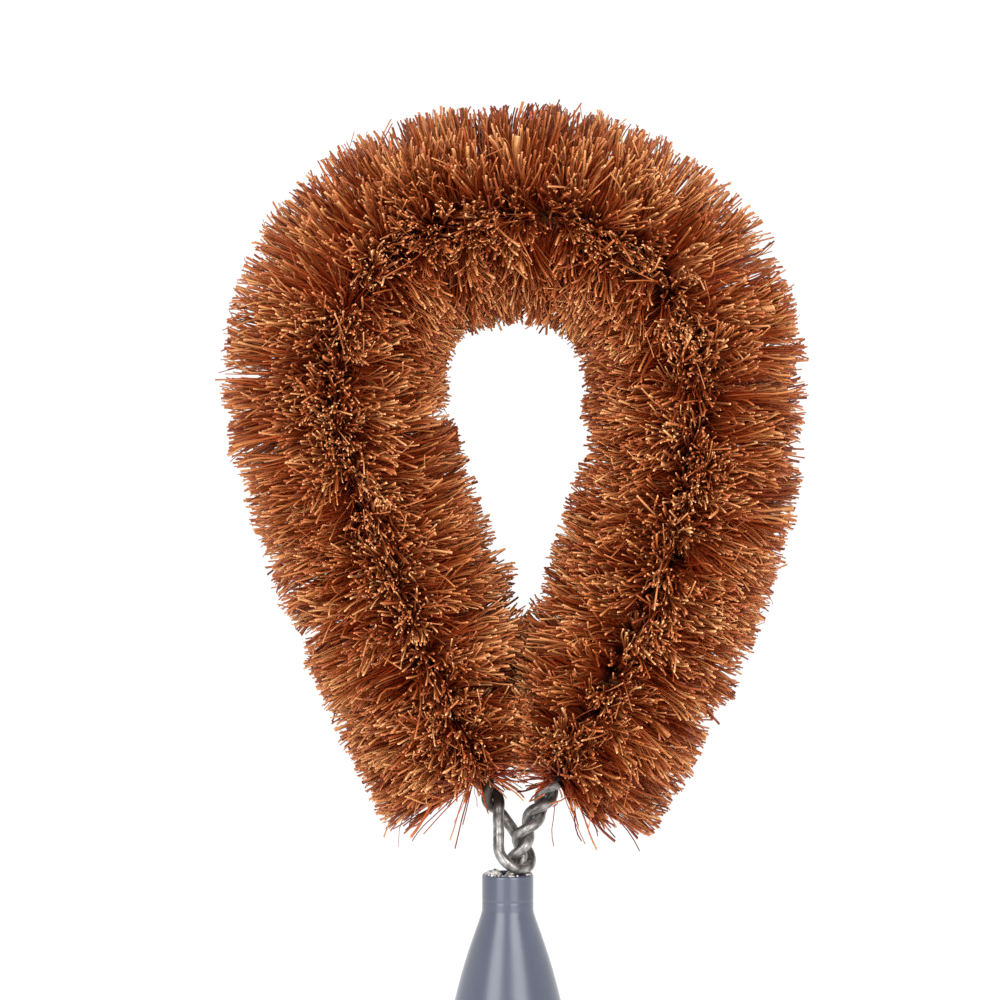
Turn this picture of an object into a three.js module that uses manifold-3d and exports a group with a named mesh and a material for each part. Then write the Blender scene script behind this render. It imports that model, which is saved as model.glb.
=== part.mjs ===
// A dish brush: palm-fibre bristles pinched in a twisted wire that is bent into a pear-shaped loop,
// with the wire's tail glued into the neck of a moulded handle.
// Millimetres, +Z up. The origin is the middle of the handle's flat butt face, and the handle's axis is +Z.
// The loop lies in the XZ plane, and -Y is the side that faces the viewer.
import * as THREE from 'three';
import { mergeVertices } from 'three/addons/utils/BufferGeometryUtils.js';
import Module from 'manifold-3d';

const wasm = await Module();
wasm.setup();

// Handle
const HANDLE_LENGTH = 130;
const NECK_WALL = 1.25;
const NECK_LENGTH = 6.5;
const GRIP_DIAMETER = 24;
const GRIP_DEPTH = 45; // from the mouth down to the thickest place
const FLARE_START_PULL = 2.2; // how far the neck's line runs on into the flare's curve
const FLARE_END_PULL = 22.6; // how far the grip's line runs up into the flare's curve
const BUTT_DIAMETER = 18; // where the taper meets the rounded end
const BUTT_ROUND = 3.5; // radius of the rounded end
const RIM_ROUND = 0.5;
const HANDLE_SIDES = 32;

// Hang hole, through a flattened end
const HANG_HOLE_DIAMETER = 7;
const HANG_HOLE_HEIGHT = 12; // above the butt face
const HANG_FLAT_THICKNESS = 11;
const HANG_FLAT_HEIGHT = 19; // top of the flat stretch, above the butt face
const HANG_FLAT_FADE = 16; // length over which the flats run out into the round grip
const HOLE_SIDES = 24;
const CUT_OVERRUN = 1; // how far a cut runs on past the face that it opens

// Socket in the neck
const SOCKET_ROOM = 1.2; // between the wire's twisted pair and the socket's wall
const SOCKET_SPARE = 6; // from the wire's cut ends down to the socket's floor
const SEAT_CLEARANCE = 0.3; // between pieces that touch on the real brush

// Wire
const WIRE_DIAMETER = 2;
const WIRE_SIDES = 5;
const TWIST_PITCH = 8.8;
const STEPS_PER_TURN = 7;
const BARE_GAP = 0.4; // between the two halves where no fibre holds them apart
const SPREAD_EASE = 6.6; // length over which the fibres push the two halves apart
const TAIL_DEPTH = 40; // of the wire's cut ends below the mouth
const TAIL_BEND = 9; // length below the mouth in which the tail leans away from the eye
const TAIL_LEAN = new THREE.Vector3(0.88, 0.47, 0).normalize(); // the way it leans, right and back
const TAIL_SIDE_GAP = 0.2; // between the leaning wire and the socket's wall

// Loop, as the line that the twisted pair follows
const LOOP_WIDTH = 64.8;
const LOOP_OFFSET = 1.4; // of the loop's middle from the handle's axis
const LOOP_HEIGHT = 118.8; // crown above the mouth
const WAIST_HEIGHT = 87; // widest place above the mouth
const CROWN_FULLNESS = 0.6; // 0.55 gives a round crown, more gives a squarer one
const LEFT_WAIST_RUN = 14; // how far the left leg runs straight down before it turns in
const RIGHT_WAIST_RUN = 33;
const LEFT_LEG_RISE = new THREE.Vector3(-5.6, 0, 15); // the way the left leg rises out of the eye
const RIGHT_LEG_RISE = new THREE.Vector3(9.5, 0.3, 22.5); // the way the right leg rises past the eye
const THROAT = new THREE.Vector3(-2.2, 0, 11.5); // where the halves part into the eye, above the mouth
const CROSSING = new THREE.Vector3(4.3, -1, 8.8); // where the right leg comes in over the eye

// Eye, the wire's fold that the right leg passes through
const EYE_CLEARANCE = 0.8; // between the eye and the pair inside it
const EYE_LIFT = 0.4; // between the eye and the handle's mouth
const EYE_FACING = new THREE.Vector3(0.55, -0.555, 0.626).normalize();
const EYE_START = 200; // degrees round the eye from its right side, over the top
const EYE_END = 445;
const EYE_STEPS = 7;

// Bristles
const BRISTLE_REACH = 20; // from the wire's line to the trimmed ends
const TUFT_PINCH = 0.4; // across a tuft where the wire pinches it
const TUFT_SPREAD = 1.4; // across a tuft at its trimmed end
const TUFT_SPACING = 1.36; // along the wire
const ZONE_GAP = 0.8; // between one stretch of bristles and the next
const LEFT_FOOT = 7.5; // bare twist between the eye's throat and the nearest tufts
const RIGHT_FOOT = 20.5; // bare twist between the mouth and the nearest tufts
const SEAM_OFFSET = 1.6; // from the loop's middle to the plane where the two legs' bristles meet
const SEAM_GAP = 0.5;
const SEAM_LEAN = 0.001; // a tuft that leans towards the seam by a smaller share than this never meets it

// Sizes that follow from the ones above
const MOUTH = new THREE.Vector3(0, 0, HANDLE_LENGTH);
const PAIR_RADIUS = WIRE_DIAMETER + BARE_GAP / 2;
const SOCKET_RADIUS = PAIR_RADIUS + SOCKET_ROOM;
const SOCKET_DEPTH = TAIL_DEPTH + SOCKET_SPARE;
const NECK_RADIUS = SOCKET_RADIUS + NECK_WALL;
const FIBRE_GAP = Math.SQRT2 * TUFT_PINCH + 2 * SEAT_CLEARANCE;
const EYE_RADIUS = PAIR_RADIUS + EYE_CLEARANCE + WIRE_DIAMETER / 2;
const SEAM_X = LOOP_OFFSET + SEAM_OFFSET;
const SIDE_AXIS = new THREE.Vector3(0, 1, 0);

const plastic = new THREE.MeshStandardMaterial({ color: 0x6f7788, roughness: 0.35, metalness: 0 });
const galvanised = new THREE.MeshStandardMaterial({ color: 0x9a9894, roughness: 0.4, metalness: 0.9 });
const palmFibre = new THREE.MeshStandardMaterial({ color: 0x94532f, roughness: 0.75, metalness: 0 });
const glue = new THREE.MeshStandardMaterial({ color: 0xd9d7d0, roughness: 0.5, metalness: 0 });

// A closed three.js geometry as a solid that can be joined and cut.
function solidOf(geometry) {
  const bare = geometry.clone();
  bare.deleteAttribute('normal');
  bare.deleteAttribute('uv');
  const merged = mergeVertices(bare, 1e-4);
  return new wasm.Manifold(
    new wasm.Mesh({
      numProp: 3,
      vertProperties: merged.attributes.position.array,
      triVerts: new Uint32Array(merged.index.array),
    }),
  );
}

// A solid back as a three.js geometry with flat faces.
function geometryOf(solid) {
  const mesh = solid.getMesh();
  const geometry = new THREE.BufferGeometry();
  geometry.setAttribute('position', new THREE.BufferAttribute(mesh.vertProperties, 3));
  geometry.setIndex(new THREE.BufferAttribute(mesh.triVerts, 1));
  const faceted = geometry.toNonIndexed();
  faceted.computeVertexNormals();
  return faceted;
}

function named(name, geometry, material) {
  const mesh = new THREE.Mesh(geometry, material);
  mesh.name = name;
  return mesh;
}

// A regular polygon as a shape, for sweeping along a line.
function polygon(diameter, sides) {
  const points = Array.from({ length: sides }, (_, i) => {
    const angle = (2 * Math.PI * i) / sides;
    return new THREE.Vector2(Math.cos(angle), Math.sin(angle)).multiplyScalar(diameter / 2);
  });
  return new THREE.Shape(points);
}

function sweep(shape, curve, steps) {
  return new THREE.ExtrudeGeometry(shape, { steps, extrudePath: curve, bevelEnabled: false });
}

// A revolved profile about +Z: radius and height, from the bottom of the axis round to its top.
function revolve(profile, sides) {
  return new THREE.LatheGeometry(profile, sides).rotateX(Math.PI / 2);
}

// The handle's outline: flat butt, rounded end, slow taper up to the grip, flare into the neck, rounded rim.
function handleProfile() {
  const buttRadius = BUTT_DIAMETER / 2;
  const gripRadius = GRIP_DIAMETER / 2;
  const gripHeight = HANDLE_LENGTH - GRIP_DEPTH;
  const neckHeight = HANDLE_LENGTH - NECK_LENGTH;
  const taperPull = (gripHeight - BUTT_ROUND) / 3;
  const outline = new THREE.Path();
  outline.moveTo(0, 0);
  outline.lineTo(buttRadius - BUTT_ROUND, 0);
  outline.absarc(buttRadius - BUTT_ROUND, BUTT_ROUND, BUTT_ROUND, -Math.PI / 2, 0, false);
  outline.bezierCurveTo(
    buttRadius, BUTT_ROUND + taperPull,
    gripRadius, gripHeight - taperPull,
    gripRadius, gripHeight,
  );
  outline.bezierCurveTo(
    gripRadius, gripHeight + FLARE_END_PULL,
    NECK_RADIUS, neckHeight - FLARE_START_PULL,
    NECK_RADIUS, neckHeight,
  );
  outline.lineTo(NECK_RADIUS, HANDLE_LENGTH - RIM_ROUND);
  outline.absarc(NECK_RADIUS - RIM_ROUND, HANDLE_LENGTH - RIM_ROUND, RIM_ROUND, 0, Math.PI / 2, false);
  outline.lineTo(0, HANDLE_LENGTH);
  return outline.getPoints(6);
}

// The handle's radius at a height, read between the two outline points on either side of it.
function radiusAt(profile, height) {
  const above = profile.findIndex((point) => point.y > height);
  const [low, high] = [profile[above - 1], profile[above]];
  return THREE.MathUtils.mapLinear(height, low.y, high.y, low.x, high.x);
}

// What is cut from one side of the handle's end: a flat that fades into the round grip.
function hangFlatCut(profile, side) {
  const flat = HANG_FLAT_THICKNESS / 2;
  const fadeTop = HANG_FLAT_HEIGHT + HANG_FLAT_FADE;
  const fadeMiddle = HANG_FLAT_HEIGHT + HANG_FLAT_FADE / 2;
  const surface = radiusAt(profile, fadeTop);
  const outline = new THREE.Shape();
  outline.moveTo(flat, -CUT_OVERRUN);
  outline.lineTo(flat, HANG_FLAT_HEIGHT);
  outline.bezierCurveTo(flat, fadeMiddle, surface, fadeMiddle, surface, fadeTop);
  outline.lineTo(GRIP_DIAMETER, fadeTop);
  outline.lineTo(GRIP_DIAMETER, -CUT_OVERRUN);
  const block = new THREE.ExtrudeGeometry(outline, {
    depth: 2 * GRIP_DIAMETER, bevelEnabled: false, curveSegments: 8,
  });
  block.translate(0, 0, -GRIP_DIAMETER);
  block.rotateY(Math.PI / 2).rotateX(Math.PI / 2);
  return solidOf(side > 0 ? block : block.rotateZ(Math.PI));
}

function makeHandle() {
  const profile = handleProfile();
  const hangHole = new THREE.CylinderGeometry(
    HANG_HOLE_DIAMETER / 2, HANG_HOLE_DIAMETER / 2, 2 * GRIP_DIAMETER, HOLE_SIDES,
  ).translate(0, 0, HANG_HOLE_HEIGHT);
  const socket = new THREE.CylinderGeometry(
    SOCKET_RADIUS, SOCKET_RADIUS, SOCKET_DEPTH + CUT_OVERRUN, HOLE_SIDES,
  ).rotateX(Math.PI / 2).translate(0, 0, HANDLE_LENGTH + (CUT_OVERRUN - SOCKET_DEPTH) / 2);
  const solid = solidOf(revolve(profile, HANDLE_SIDES))
    .subtract(hangFlatCut(profile, 1))
    .subtract(hangFlatCut(profile, -1))
    .subtract(solidOf(hangHole))
    .subtract(solidOf(socket));
  return named('handle', geometryOf(solid), plastic);
}

// The places that the core line passes through: up from the tail's end, over the crown, down to the throat.
function coreStations() {
  const at = (x, y, z) => new THREE.Vector3(x, y, z).add(MOUTH);
  const half = LOOP_WIDTH / 2;
  return {
    tailEnd: at(0, 0, WIRE_DIAMETER - TAIL_DEPTH),
    tailTop: at(0, 0, -TAIL_BEND),
    mouth: TAIL_LEAN.clone().setLength(SOCKET_ROOM - TAIL_SIDE_GAP).add(MOUTH),
    crossing: CROSSING.clone().add(MOUTH),
    rightWaist: at(LOOP_OFFSET + half, 0, WAIST_HEIGHT),
    crown: at(LOOP_OFFSET, 0, LOOP_HEIGHT),
    leftWaist: at(LOOP_OFFSET - half, 0, WAIST_HEIGHT),
    throat: THROAT.clone().add(MOUTH),
  };
}

// A curve between two places that leaves the first and enters the last along the arrows given.
function bend(from, leaving, to, entering) {
  return new THREE.CubicBezierCurve3(from, from.clone().add(leaving), to.clone().sub(entering), to);
}

// The line that the twisted pair follows. Each stretch leaves the last the way that one ended.
function makeCoreLine() {
  const stop = coreStations();
  const up = (length) => new THREE.Vector3(0, 0, length);
  const crownRise = up((LOOP_HEIGHT - WAIST_HEIGHT) * CROWN_FULLNESS);
  const crownRun = new THREE.Vector3((-LOOP_WIDTH / 2) * CROWN_FULLNESS, 0, 0);
  const third = TAIL_BEND / 3;
  const mouthRise = stop.crossing.clone().sub(stop.tailTop).setLength(third);
  const crossingRise = RIGHT_LEG_RISE.clone().setLength(third);
  const line = new THREE.CurvePath();
  line.add(new THREE.LineCurve3(stop.tailEnd, stop.tailTop));
  line.add(bend(stop.tailTop, up(third), stop.mouth, mouthRise));
  line.add(bend(stop.mouth, mouthRise, stop.crossing, crossingRise));
  line.add(bend(stop.crossing, RIGHT_LEG_RISE, stop.rightWaist, up(RIGHT_WAIST_RUN)));
  line.add(bend(stop.rightWaist, crownRise, stop.crown, crownRun));
  line.add(bend(stop.crown, crownRun, stop.leftWaist, crownRise.clone().negate()));
  line.add(bend(stop.leftWaist, up(-LEFT_WAIST_RUN), stop.throat, LEFT_LEG_RISE.clone().negate()));
  return line;
}

const coreLine = makeCoreLine();
const [, MOUTH_RUN, , RIGHT_WAIST, CROWN, LEFT_WAIST, CORE_LENGTH] = coreLine.getCurveLengths();
const FIRST_TUFT = MOUTH_RUN + RIGHT_FOOT;
const LAST_TUFT = CORE_LENGTH - LEFT_FOOT;

// Where the core line is after a run of so many millimetres, with its direction and two axes across it.
function coreFrame(run) {
  const t = THREE.MathUtils.clamp(run / CORE_LENGTH, 0, 1);
  const along = coreLine.getTangent(t);
  const across = new THREE.Vector3().crossVectors(SIDE_AXIS, along).normalize();
  const up = new THREE.Vector3().crossVectors(along, across);
  return { point: coreLine.getPoint(t), along, across, up };
}

// The twist's angle at a run: the first half lies towards the viewer where the eye's throat begins.
function twistAngle(run) {
  return (2 * Math.PI * (run - CORE_LENGTH)) / TWIST_PITCH - Math.PI / 2;
}

function radial(frame, angle) {
  return frame.across.clone().multiplyScalar(Math.cos(angle)).addScaledVector(frame.up, Math.sin(angle));
}

// Half the distance between the two halves' middles: wider where fibre lies between them.
function halfSpread(run) {
  const into = THREE.MathUtils.smoothstep(run, FIRST_TUFT - SPREAD_EASE, FIRST_TUFT);
  const outOf = 1 - THREE.MathUtils.smoothstep(run, LAST_TUFT, LAST_TUFT + SPREAD_EASE);
  const gap = THREE.MathUtils.lerp(BARE_GAP, FIBRE_GAP, Math.min(into, outOf));
  return (WIRE_DIAMETER + gap) / 2;
}

function strandPoint(run, turn) {
  const frame = coreFrame(run);
  return frame.point.addScaledVector(radial(frame, twistAngle(run) + turn), halfSpread(run));
}

// The eye's line, from the half in front down round the right leg to the half behind: most of a ring about
// the place where the right leg passes through, and a point halfway to the throat at each end.
function eyePoints(front, back) {
  const { mouth, crossing } = coreStations();
  const drop = EYE_RADIUS * Math.hypot(EYE_FACING.x, EYE_FACING.y);
  const rise = EYE_LIFT + WIRE_DIAMETER / 2 + drop;
  const centre = mouth.clone().lerp(crossing, rise / (crossing.z - mouth.z));
  const rightward = new THREE.Vector3(1, 0, 0).projectOnPlane(EYE_FACING).normalize();
  const upward = new THREE.Vector3().crossVectors(EYE_FACING, rightward);
  const ring = Array.from({ length: EYE_STEPS + 1 }, (_, i) => {
    const angle = THREE.MathUtils.degToRad(THREE.MathUtils.lerp(EYE_START, EYE_END, i / EYE_STEPS));
    return centre.clone()
      .addScaledVector(rightward, EYE_RADIUS * Math.cos(angle))
      .addScaledVector(upward, EYE_RADIUS * Math.sin(angle));
  });
  return [front.clone().lerp(ring[0], 0.5), ...ring, back.clone().lerp(ring[EYE_STEPS], 0.5)];
}

// The one wire's line: up the first half, round the eye and back down the second half.
function makeWireLine() {
  const count = Math.round((CORE_LENGTH / TWIST_PITCH) * STEPS_PER_TURN);
  const runs = Array.from({ length: count + 1 }, (_, i) => (CORE_LENGTH * i) / count);
  const first = runs.map((run) => strandPoint(run, 0));
  const second = runs.map((run) => strandPoint(run, Math.PI)).reverse();
  const eye = eyePoints(first.at(-1), second[0]);
  const straightEnd = new THREE.Vector3(0, 0, -WIRE_DIAMETER);
  first.unshift(first[0].clone().add(straightEnd));
  second.push(second.at(-1).clone().add(straightEnd));
  const line = new THREE.CatmullRomCurve3([...first, ...eye, ...second], false, 'centripetal');
  line.arcLengthDivisions = 8 * count;
  return line;
}

// The least gap between stretches of the wire that lie further apart along it than it could bend back.
function leastGap(line) {
  const samples = 1600;
  const points = line.getSpacedPoints(samples);
  const bendBack = 2 * Math.PI * WIRE_DIAMETER;
  const apart = Math.ceil((bendBack * samples) / line.getLength());
  let least = Infinity;
  for (let i = 0; i < points.length; i += 1) {
    for (let j = i + apart; j < points.length; j += 1) {
      least = Math.min(least, points[i].distanceTo(points[j]));
    }
  }
  return least - WIRE_DIAMETER;
}

function makeWire() {
  const line = makeWireLine();
  console.log('least gap of the wire to itself', leastGap(line).toFixed(2), 'mm');
  const turnLength = Math.hypot(TWIST_PITCH, Math.PI * (WIRE_DIAMETER + FIBRE_GAP));
  const steps = Math.round((line.getLength() / turnLength) * STEPS_PER_TURN);
  return named('twisted_wire', sweep(polygon(WIRE_DIAMETER, WIRE_SIDES), line, steps), galvanised);
}

// How far a tuft reaches: to the trimmed round, or on a leg to the plane where the two legs' bristles meet.
function tuftReach(origin, direction, legSide) {
  const towardsSeam = -legSide * direction.x;
  if (towardsSeam < SEAM_LEAN) return BRISTLE_REACH;
  const room = legSide * (origin.x - SEAM_X) - SEAM_GAP - TUFT_SPREAD / 2;
  return Math.min(BRISTLE_REACH, room / towardsSeam);
}

// A closed mesh in the making: corners, and flat faces of four corners each, counted round from outside.
function openMesh() {
  const corners = [];
  const faces = [];
  return {
    addCorners(points) {
      const first = corners.length;
      corners.push(...points);
      return points.map((_, i) => first + i);
    },
    addFace(a, b, c, d) {
      faces.push(a, b, c, a, c, d);
    },
    geometry() {
      const indexed = new THREE.BufferGeometry().setFromPoints(corners);
      indexed.setIndex(faces);
      const faceted = indexed.toNonIndexed();
      faceted.computeVertexNormals();
      return faceted;
    },
  };
}

// Four faces that join one ring of four corners to the next.
function joinRings(mesh, ring, next, sides = [0, 1, 2, 3]) {
  for (const side of sides) {
    const after = (side + 1) % 4;
    mesh.addFace(ring[side], ring[after], next[after], next[side]);
  }
}

// The four corners of a square of half side h about a point, in the plane of two axes.
function squareCorners(point, first, second, h) {
  return [[1, -1], [1, 1], [-1, 1], [-1, -1]].map(([a, b]) =>
    point.clone().addScaledVector(first, a * h).addScaledVector(second, b * h));
}

// A tuft drawn out of one side of the spine: it fans out from the pinch to its trimmed end.
function addTuft(mesh, base, frame, outward, sideways, reach) {
  const spread = THREE.MathUtils.lerp(TUFT_PINCH, TUFT_SPREAD, reach / BRISTLE_REACH);
  const end = frame.point.clone().addScaledVector(outward, reach);
  const back = frame.along.clone().negate();
  const tip = mesh.addCorners(squareCorners(end, back, sideways, spread / 2));
  joinRings(mesh, base, tip);
  mesh.addFace(...tip);
}

// One stretch of bristles as one closed mesh: a square spine of fibre middles that turns with the twist, and
// at each station a tuft out of the two sides that face between the wire's halves.
function makeBristles(name, from, to, legSide) {
  const mesh = openMesh();
  const halfPinch = TUFT_PINCH / 2;
  const stations = Math.floor((to - from - TUFT_PINCH) / TUFT_SPACING);
  const start = from + (to - from - stations * TUFT_SPACING) / 2;
  let last = null;
  for (let i = 0; i <= stations; i += 1) {
    const frame = coreFrame(start + i * TUFT_SPACING);
    const angle = twistAngle(start + i * TUFT_SPACING);
    const outward = radial(frame, angle + Math.PI / 2);
    const sideways = radial(frame, angle + Math.PI);
    const [lower, upper] = [-halfPinch, halfPinch].map((shift) => mesh.addCorners(
      squareCorners(frame.point.clone().addScaledVector(frame.along, shift), outward, sideways, halfPinch),
    ));
    if (last) joinRings(mesh, last, lower);
    else mesh.addFace(lower[0], lower[3], lower[2], lower[1]);
    joinRings(mesh, lower, upper, [1, 3]);
    for (const [side, sign] of [[0, 1], [2, -1]]) {
      const direction = outward.clone().multiplyScalar(sign);
      const base = [lower[side], lower[side + 1], upper[side + 1], upper[side]];
      const reach = tuftReach(frame.point, direction, legSide);
      addTuft(mesh, base, frame, direction, sideways.clone().multiplyScalar(sign), reach);
    }
    last = upper;
  }
  mesh.addFace(...last);
  return named(name, mesh.geometry(), palmFibre);
}

// The four stretches of bristles: name, where each starts and ends along the wire, and the leg's side.
function bristleZones() {
  const half = ZONE_GAP / 2;
  return [
    ['bristles_right_leg', FIRST_TUFT, RIGHT_WAIST - half, 1],
    ['bristles_right_crown', RIGHT_WAIST + half, CROWN - half, 0],
    ['bristles_left_crown', CROWN + half, LEFT_WAIST - half, 0],
    ['bristles_left_leg', LEFT_WAIST + half, LAST_TUFT, -1],
  ];
}

// The set adhesive: a cup round the wire's tail, filling the socket up to where the tail leans back.
function makeAdhesive() {
  const outer = SOCKET_RADIUS - SEAT_CLEARANCE;
  const inner = PAIR_RADIUS + SEAT_CLEARANCE;
  const floor = HANDLE_LENGTH - SOCKET_DEPTH + SEAT_CLEARANCE;
  const tailEnd = HANDLE_LENGTH - TAIL_DEPTH - SEAT_CLEARANCE;
  const top = HANDLE_LENGTH - TAIL_BEND;
  const profile = [
    [0, floor], [outer, floor], [outer, top], [inner, top], [inner, tailEnd], [0, tailEnd],
  ].map(([r, z]) => new THREE.Vector2(r, z));
  return named('socket_adhesive', geometryOf(solidOf(revolve(profile, HOLE_SIDES))), glue);
}

const brush = new THREE.Group();
brush.add(makeHandle(), makeAdhesive(), makeWire());
for (const zone of bristleZones()) brush.add(makeBristles(...zone));

export default brush;
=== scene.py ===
"""Looks for a dish brush: a pear-shaped loop of palm fibre on a twisted wire, glued into a moulded handle.

Everything is in metres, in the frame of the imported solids: +Z runs up the handle's axis from the butt face,
+X is to the right as the loop is seen from the front, and -Y faces the viewer.
"""
import math

import bpy
import numpy as np
from bpy.props import FloatProperty, FloatVectorProperty, IntProperty, PointerProperty
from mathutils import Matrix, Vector


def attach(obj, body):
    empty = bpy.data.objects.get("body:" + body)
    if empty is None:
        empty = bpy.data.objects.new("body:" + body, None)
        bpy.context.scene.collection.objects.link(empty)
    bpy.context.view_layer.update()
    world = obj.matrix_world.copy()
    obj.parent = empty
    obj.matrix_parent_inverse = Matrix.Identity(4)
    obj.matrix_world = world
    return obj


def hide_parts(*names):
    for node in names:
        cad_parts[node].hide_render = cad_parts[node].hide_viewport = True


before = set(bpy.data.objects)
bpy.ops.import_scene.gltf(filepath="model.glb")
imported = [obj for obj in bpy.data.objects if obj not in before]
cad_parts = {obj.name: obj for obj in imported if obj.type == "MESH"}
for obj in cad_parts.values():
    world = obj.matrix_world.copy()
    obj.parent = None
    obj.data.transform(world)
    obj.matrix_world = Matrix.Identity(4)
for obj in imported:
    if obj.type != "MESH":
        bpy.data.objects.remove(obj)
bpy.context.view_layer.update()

bl_info = {
    "name": "Looped dish brush",
    "version": (1, 0, 0),
    "blender": (4, 5, 0),
    "location": "3D View > Sidebar > Brush",
    "description": "Dresses the packed dish brush with fibres, twisted wire, handle and studio",
    "category": "Object",
}

MM = 0.001
BODY = "root"
SIDE_AXIS = np.array([0.0, 1.0, 0.0])

# Handle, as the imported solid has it
HANDLE_LENGTH = 130 * MM
NECK_RADIUS = 4.65 * MM
NECK_LENGTH = 6.5 * MM
GRIP_RADIUS = 12 * MM
GRIP_HEIGHT = 85 * MM
FLARE_START_PULL = 2.2 * MM
FLARE_END_PULL = 22.6 * MM
BUTT_RADIUS = 9 * MM
BUTT_ROUND = 3.5 * MM
RIM_ROUND = 0.5 * MM
SOCKET_RADIUS = 3.4 * MM
SOCKET_DEPTH = 46 * MM
HANG_HOLE_RADIUS = 3.5 * MM
HANG_HOLE_HEIGHT = 12 * MM
HANG_FLAT = 5.5 * MM  # from the handle's axis to each flat
HANG_FLAT_TOP = 19 * MM
HANG_FADE_TOP = 35 * MM
HANG_FADE_END = HANG_FADE_TOP + 4 * MM  # where the flats' soft edges have run out too
SHARP_EDGE = math.radians(50)  # an edge of the handle that bends by more stays crisp

# Wire and loop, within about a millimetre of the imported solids, measured from the middle of the mouth
MOUTH = np.array([0.0, 0.0, HANDLE_LENGTH])
WIRE_RADIUS = 1.0 * MM
TWIST_PITCH = 8.845 * MM
TAIL_DEPTH = 38 * MM
TAIL_STRAIGHT_END = 2 * MM
TAIL_BEND = 9 * MM
MOUTH_LEAN = np.array([1.2, 0.3, 0.0]) * MM
THROAT = np.array([-1.7, 0.0, 11.3]) * MM
CROSSING = np.array([3.8, -1.0, 8.8]) * MM
LEFT_LEG_RISE = np.array([-7.0, 0.0, 14.3]) * MM
RIGHT_LEG_RISE = np.array([12.0, 0.3, 21.0]) * MM
LOOP_HALF_WIDTH = 32.4 * MM
LOOP_OFFSET = 1.4 * MM
LOOP_HEIGHT = 118.8 * MM
WAIST_HEIGHT = 87 * MM
CROWN_FULLNESS = 0.6
LEFT_CROWN_FULLNESS = 0.65
LEFT_WAIST_RUN = 14 * MM
RIGHT_WAIST_RUN = 33 * MM
EYE_RADIUS = 3.5 * MM
EYE_MIDDLE = np.array([1.2, -0.35, 3.7]) * MM
EYE_FACING = np.array([0.55, -0.555, 0.626])
EYE_START, EYE_END = 200.0, 420.0
EYE_STEPS = 7
EYE_BULGE = np.array([0.5, 0.0, -0.5]) * MM  # of the strand behind, between the eye and the throat
LEFT_FOOT = 7 * MM
RIGHT_FOOT = 18.8 * MM
SEAM_X = 3.0 * MM  # plane where the two legs' fibres meet
TARNISH_RISE = (9 * MM, 14 * MM)  # above the mouth, where the tarnish begins and is full
# Fibre dust on the wire, which is also painted shade of the depths among the fibres
DUST_AND_SHADE_RISE = (17 * MM, 23 * MM)  # above the mouth, where the fibre dust begins and is full
LEG_CHANGE = (-1 * MM, 3 * MM)  # across, where the left leg ends and the right one begins
LEG_TARNISH = (0.9, 0.25)  # strength of the tarnish on the left leg and on the right one

# Maps on the pieces: a fibre's shade and share of its length, and the wire's turn and run in metres
FIBRE_MAP = "OFBake"
WIRE_MAP = "wire_run"


def linear(hex_colour):
    """An sRGB hex colour as linear red, green and blue."""
    levels = np.array([int(hex_colour[i : i + 2], 16) for i in (0, 2, 4)]) / 255
    return tuple(np.where(levels <= 0.04045, levels / 12.92, ((levels + 0.055) / 1.055) ** 2.4).tolist())


# Settings that a user would change


def length(name, description, default):
    """A length property in metres."""
    return FloatProperty(name=name, description=description, default=default, unit="LENGTH", precision=5)


def amount(name, description, default, subtype="NONE"):
    """A number property, which a subtype can make an angle or a power."""
    return FloatProperty(name=name, description=description, default=default, subtype=subtype)


def colour(name, description, hex_colour):
    """A colour property, given as sRGB hex."""
    return FloatVectorProperty(
        name=name, description=description, default=linear(hex_colour), subtype="COLOR", size=3, min=0, max=1
    )


class HandleSettings(bpy.types.PropertyGroup):
    """Sizes and colours of the moulded handle and of the glue in its mouth."""

    line_depth: length("Neck line depth", "Depth of the fine moulded line round the neck", 0.045 * MM)
    line_drop: length("Neck line drop", "From the mouth down to the fine line", 4.9 * MM)
    edge_round: length("Edge round", "Softness of the edges of the hang flats", 1.1 * MM)
    plastic: colour("Plastic", "Main colour of the handle", "373b48")
    plastic_deep: colour("Plastic, deep", "Colour of the darker clouds in the plastic", "323643")
    glue: colour("Set glue", "Colour of the set adhesive and its crust", "a8a4a0")


class WireSettings(bpy.types.PropertyGroup):
    """Sizes and colours of the twisted wire."""

    gap: length("Gap", "Between the two halves of the twisted wire", 0.04 * MM)
    zinc: colour("Zinc", "Colour of the clean galvanised wire", "969391")
    zinc_dull: colour("Dull zinc", "Colour of the weathered patches", "464240")
    tarnish: colour("Tarnish", "Colour of the oxidised wire near the fibres", "30241c")
    # Dark brown for fibre dust, and painted shade, on the wire inside the fibres
    dust_and_shade: colour("Dust", "Colour of the fibre dust on the wire inside the fibres", "4a2410")


class FibreSettings(bpy.types.PropertyGroup):
    """Sizes and colours of the palm fibres."""

    reach: length("Reach", "From the wire's line to the trimmed ends", 20.0 * MM)
    thickness: length("Thickness", "Usual thickness of a fibre", 0.37 * MM)
    per_mm: amount("Ends per millimetre", "Fibre ends on a millimetre of wire", 186)
    lay_pitch: length("Lay pitch", "Length of wire on which the rows of fibres go round once", 17.6 * MM)
    seed: IntProperty(name="Seed", description="Picks another scatter of the fibres", default=29)
    # Root and middle: painted shade of the fibres' depths. Outer: partly painted light through them.
    root: colour("Root", "Colour next to the wire", "c46a44")
    middle: colour("Middle", "Colour halfway out", "b35a33")
    outer: colour("Outer", "Colour of the outer lengths", "a8784e")
    cut_end: colour("Cut end", "Colour of the trimmed ends", "cfa27a")


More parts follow.
